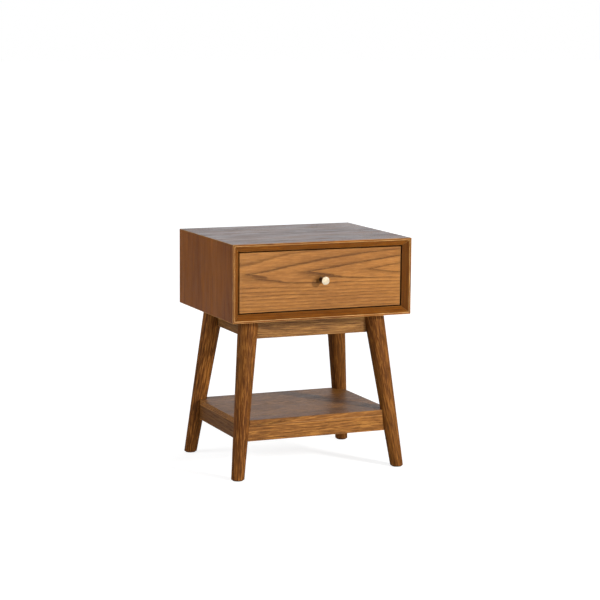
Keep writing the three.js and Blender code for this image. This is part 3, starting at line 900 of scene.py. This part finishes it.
def placeFasteners(name, fastener, spots, body, nodes):
    # spots: (place of the head's outer face, direction the shank runs)
    mesh = bpy.data.meshes.new(name + "_spots")
    mesh.from_pydata([spot for spot, _ in spots], [], [])
    layer = mesh.attributes.new("aim", "FLOAT_VECTOR", "POINT")
    layer.data.foreach_set("vector", np.array([list(way) for _, way in spots], np.float32).ravel())
    carrier = newObject(name + "_carrier", mesh)
    modifier = carrier.modifiers.new("fasteners", "NODES")
    modifier.node_group = fastenerMaker
    setInputs(modifier, {"Fastener": fastener, "Material": steels["screw_zinc_steel"]})
    made = evaluatedMesh(name, carrier)
    bpy.data.objects.remove(fastener)
    newPiece(name, made, body, nodes, None)


def screwSpots(nodes, way):
    # the middle of each node's head end, which is the end of its box away from where the shank runs
    headWay = [-part for part in way]
    return [(faceMiddle(node, headWay), way) for node in nodes]


fastenerMaker = fastenerTree()
nodes = [f"front_screw_{count}" for count in (1, 2, 3, 4)]
placeFasteners("drawer_front_screws", crossHeadScrew("front_screw", frontScrew),
               screwSpots(nodes, front), "drawer", nodes)
placeFasteners("knob_machine_screw", crossHeadScrew("machine_screw", knobScrew),
               screwSpots(["knob_screw"], front), "drawer", ["knob_screw"])
nodes = ["base_screw_" + corner for corner in corners]
placeFasteners("base_screws", crossHeadScrew("base_screw", baseScrew), screwSpots(nodes, up), "case", nodes)

spots = []
for corner in corners:
    low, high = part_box("leg_bolt_" + corner)
    wayX = -1 if "left" in corner else 1
    wayY = -1 if "front" in corner else 1
    way = Vector((wayX, wayY, 0)).normalized()
    # the shank's tip corner of the box, less the shank's own radius, less the length
    tip = Vector((high.x if wayX > 0 else low.x, high.y if wayY > 0 else low.y, (low.z + high.z) / 2))
    tip -= Vector((wayX, wayY, 0)) * (legBolt["radius"] * mm * math.sin(math.pi / 4))
    spots.append((tip - way * (legBolt["length"] * mm), way))
nodes = ["leg_bolt_" + corner for corner in corners]
placeFasteners("leg_bolts", hexBolt("leg_bolt", legBolt), spots, "case", nodes)
print("screws and bolts made")

# The slides and glides keep their own shape and take a proper finish
for node, piece in frame["nodes"].items():
    if node.startswith(("slide_", "glide_")):
        piece.data.materials.clear()
        piece.data.materials.append(nylon if node.startswith("glide_") else steels["slide_zinc_steel"])


# Floor, light and camera

studio = {
    "surround": 0.2, "backGlow": 1.62, "backTint": (0.86, 0.99, 1.07, 1.0),
    "backTurn": 34.0, "backRise": 8.0, "backFrom": 0.78, "backFull": 0.96,
    "floorTones": ((0.90, 0.90, 0.90, 1.0), (0.92, 0.92, 0.92, 1.0)), "floorReach": 40.0,
    "floorDrop": 0.2 * mm,  # keeps the floor clear of the glides' undersides
    "floorGlow": (1.34, 1.66), "glowFrom": 0.5, "glowTo": 3.5, "glowShare": 0.6,
    "aimHeight": 0.40,
}
lamps = {  # degrees round from straight ahead of the drawer, degrees up, metres away, size, power
    "key": (31.0, 17.0, 4.2, 0.5, 203.0),
    "fill": (-100.0, 20.0, 3.6, 1.6, 70.0),
    "low": (10.0, 3.0, 4.0, 1.0, 72.0),
}
overhead = {"place": (0.3, 0.4, 3.0), "aim": (0.0, 0.1, 0.0), "size": 2.4, "power": 8.0}
white = (1.0, 1.0, 1.0, 1.0)


def aimedWay(turn, rise):
    # the direction that is turn degrees right of straight ahead of the drawer, and rise degrees up
    turn, rise = math.radians(turn), math.radians(rise)
    return Vector((math.sin(turn) * math.cos(rise), -math.cos(turn) * math.cos(rise), math.sin(rise)))


def paleFloor():
    material, bench, shader = newFinish("floor_pale_paper", {"Specular IOR Level": 0.1, "Roughness": 0.9})
    place = bench.put("ShaderNodeTexCoord", {}, output="Object")
    cloud = noiseOn(bench, place, 0.8, 2.0, 0.5)
    feed(bench, shader, Base_Color=blend(bench, between(bench, cloud, 0.3, 0.7), *studio["floorTones"]))
    # paper that is lit to near white all over: what is seen of it glows, what it lights doesn't
    distance = bench.put("ShaderNodeVectorMath", {"operation": "LENGTH"}, {0: place}, "Value")
    strength = between(bench, distance, studio["glowFrom"], studio["glowTo"], *studio["floorGlow"])
    glow = bench.put("ShaderNodeEmission", {}, {"Color": white, "Strength": strength})
    ray = bench.put("ShaderNodeLightPath", {}, output="Is Camera Ray")
    own = Wire(bench, shader.outputs[0])
    both = bench.put("ShaderNodeMixShader", {}, {0: ray * studio["glowShare"], 1: own, 2: glow})
    bench.tree.links.new(both.socket, material.node_tree.nodes["Material Output"].inputs["Surface"])
    mesh = bpy.data.meshes.new("floor")
    reach, level = studio["floorReach"], -studio["floorDrop"]
    rim = [(-reach, -reach, level), (reach, -reach, level), (reach, reach, level), (-reach, reach, level)]
    mesh.from_pydata(rim, [], [(0, 1, 2, 3)])
    mesh.materials.append(material)
    floor = newObject("floor", mesh)


def surroundings():
    world = bpy.data.worlds.new("studio")
    scene.world = world
    world.use_nodes = True
    world.node_tree.nodes.clear()
    bench = Bench(world.node_tree)
    way = bench.put("ShaderNodeTexCoord", {}, output="Generated")
    backWay = aimedWay(180.0 - studio["backTurn"], studio["backRise"])
    facing = bench.put("ShaderNodeVectorMath", {"operation": "DOT_PRODUCT"}, {0: way, 1: backWay}, "Value")
    glow = between(bench, facing, studio["backFrom"], studio["backFull"])
    level = studio["surround"] + glow * studio["backGlow"]
    shadeOfWhite = blend(bench, glow, white, studio["backTint"])
    lit = bench.put("ShaderNodeBackground", {}, {"Color": shadeOfWhite, "Strength": level})
    seen = bench.put("ShaderNodeBackground", {}, {"Color": white, "Strength": 1.0})
    ray = bench.put("ShaderNodeLightPath", {}, output="Is Camera Ray")
    both = bench.put("ShaderNodeMixShader", {}, {0: ray, 1: lit, 2: seen})
    bench.put("ShaderNodeOutputWorld", {}, {0: both})


def softLight(name, place, aim, size, power):
    light = bpy.data.lights.new(name, "AREA")
    light.shape = "DISK"
    light.size = size
    light.energy = power
    lamp = newObject(name, light)
    lamp.location = place
    lamp.rotation_euler = (Vector(aim) - Vector(place)).to_track_quat("-Z", "Y").to_euler()
    lamp.visible_camera = False


paleFloor()
surroundings()
aim = Vector((0, caseFront, studio["aimHeight"]))
for name, (turn, rise, away, size, power) in lamps.items():
    softLight(name, aim + aimedWay(turn, rise) * away, aim, size, power)
softLight("overhead", overhead["place"], overhead["aim"], overhead["size"], overhead["power"])

view = {
    "place": (-1.8053, -4.2682, 1.0764), "turn": 23.451, "tilt": 8.388, "roll": 0.498,
    "lens": 115.25, "shiftX": -0.0192, "shiftY": 0.0026, "filmWidth": 36.0, "farthest": 200.0,
}


def setCamera():
    turn, tilt, roll = (math.radians(view[key]) for key in ("turn", "tilt", "roll"))
    ahead = Vector((math.sin(turn) * math.cos(tilt), math.cos(turn) * math.cos(tilt), -math.sin(tilt)))
    side = Vector((math.cos(turn), -math.sin(turn), 0))
    over = side.cross(ahead)
    camX = side * math.cos(roll) + over * math.sin(roll)
    camY = over * math.cos(roll) - side * math.sin(roll)
    matrix = Matrix((camX, camY, -ahead)).transposed().to_4x4()
    matrix.translation = Vector(view["place"])
    data = bpy.data.cameras.new("camera")
    data.sensor_width = view["filmWidth"]
    data.lens = view["lens"]
    data.shift_x = view["shiftX"]
    data.shift_y = view["shiftY"]
    data.clip_end = view["farthest"]
    camera = newObject("camera", data)
    camera.matrix_world = matrix
    scene.camera = camera


setCamera()
scene.view_settings.view_transform = "Standard"
print("stage, light and camera set")
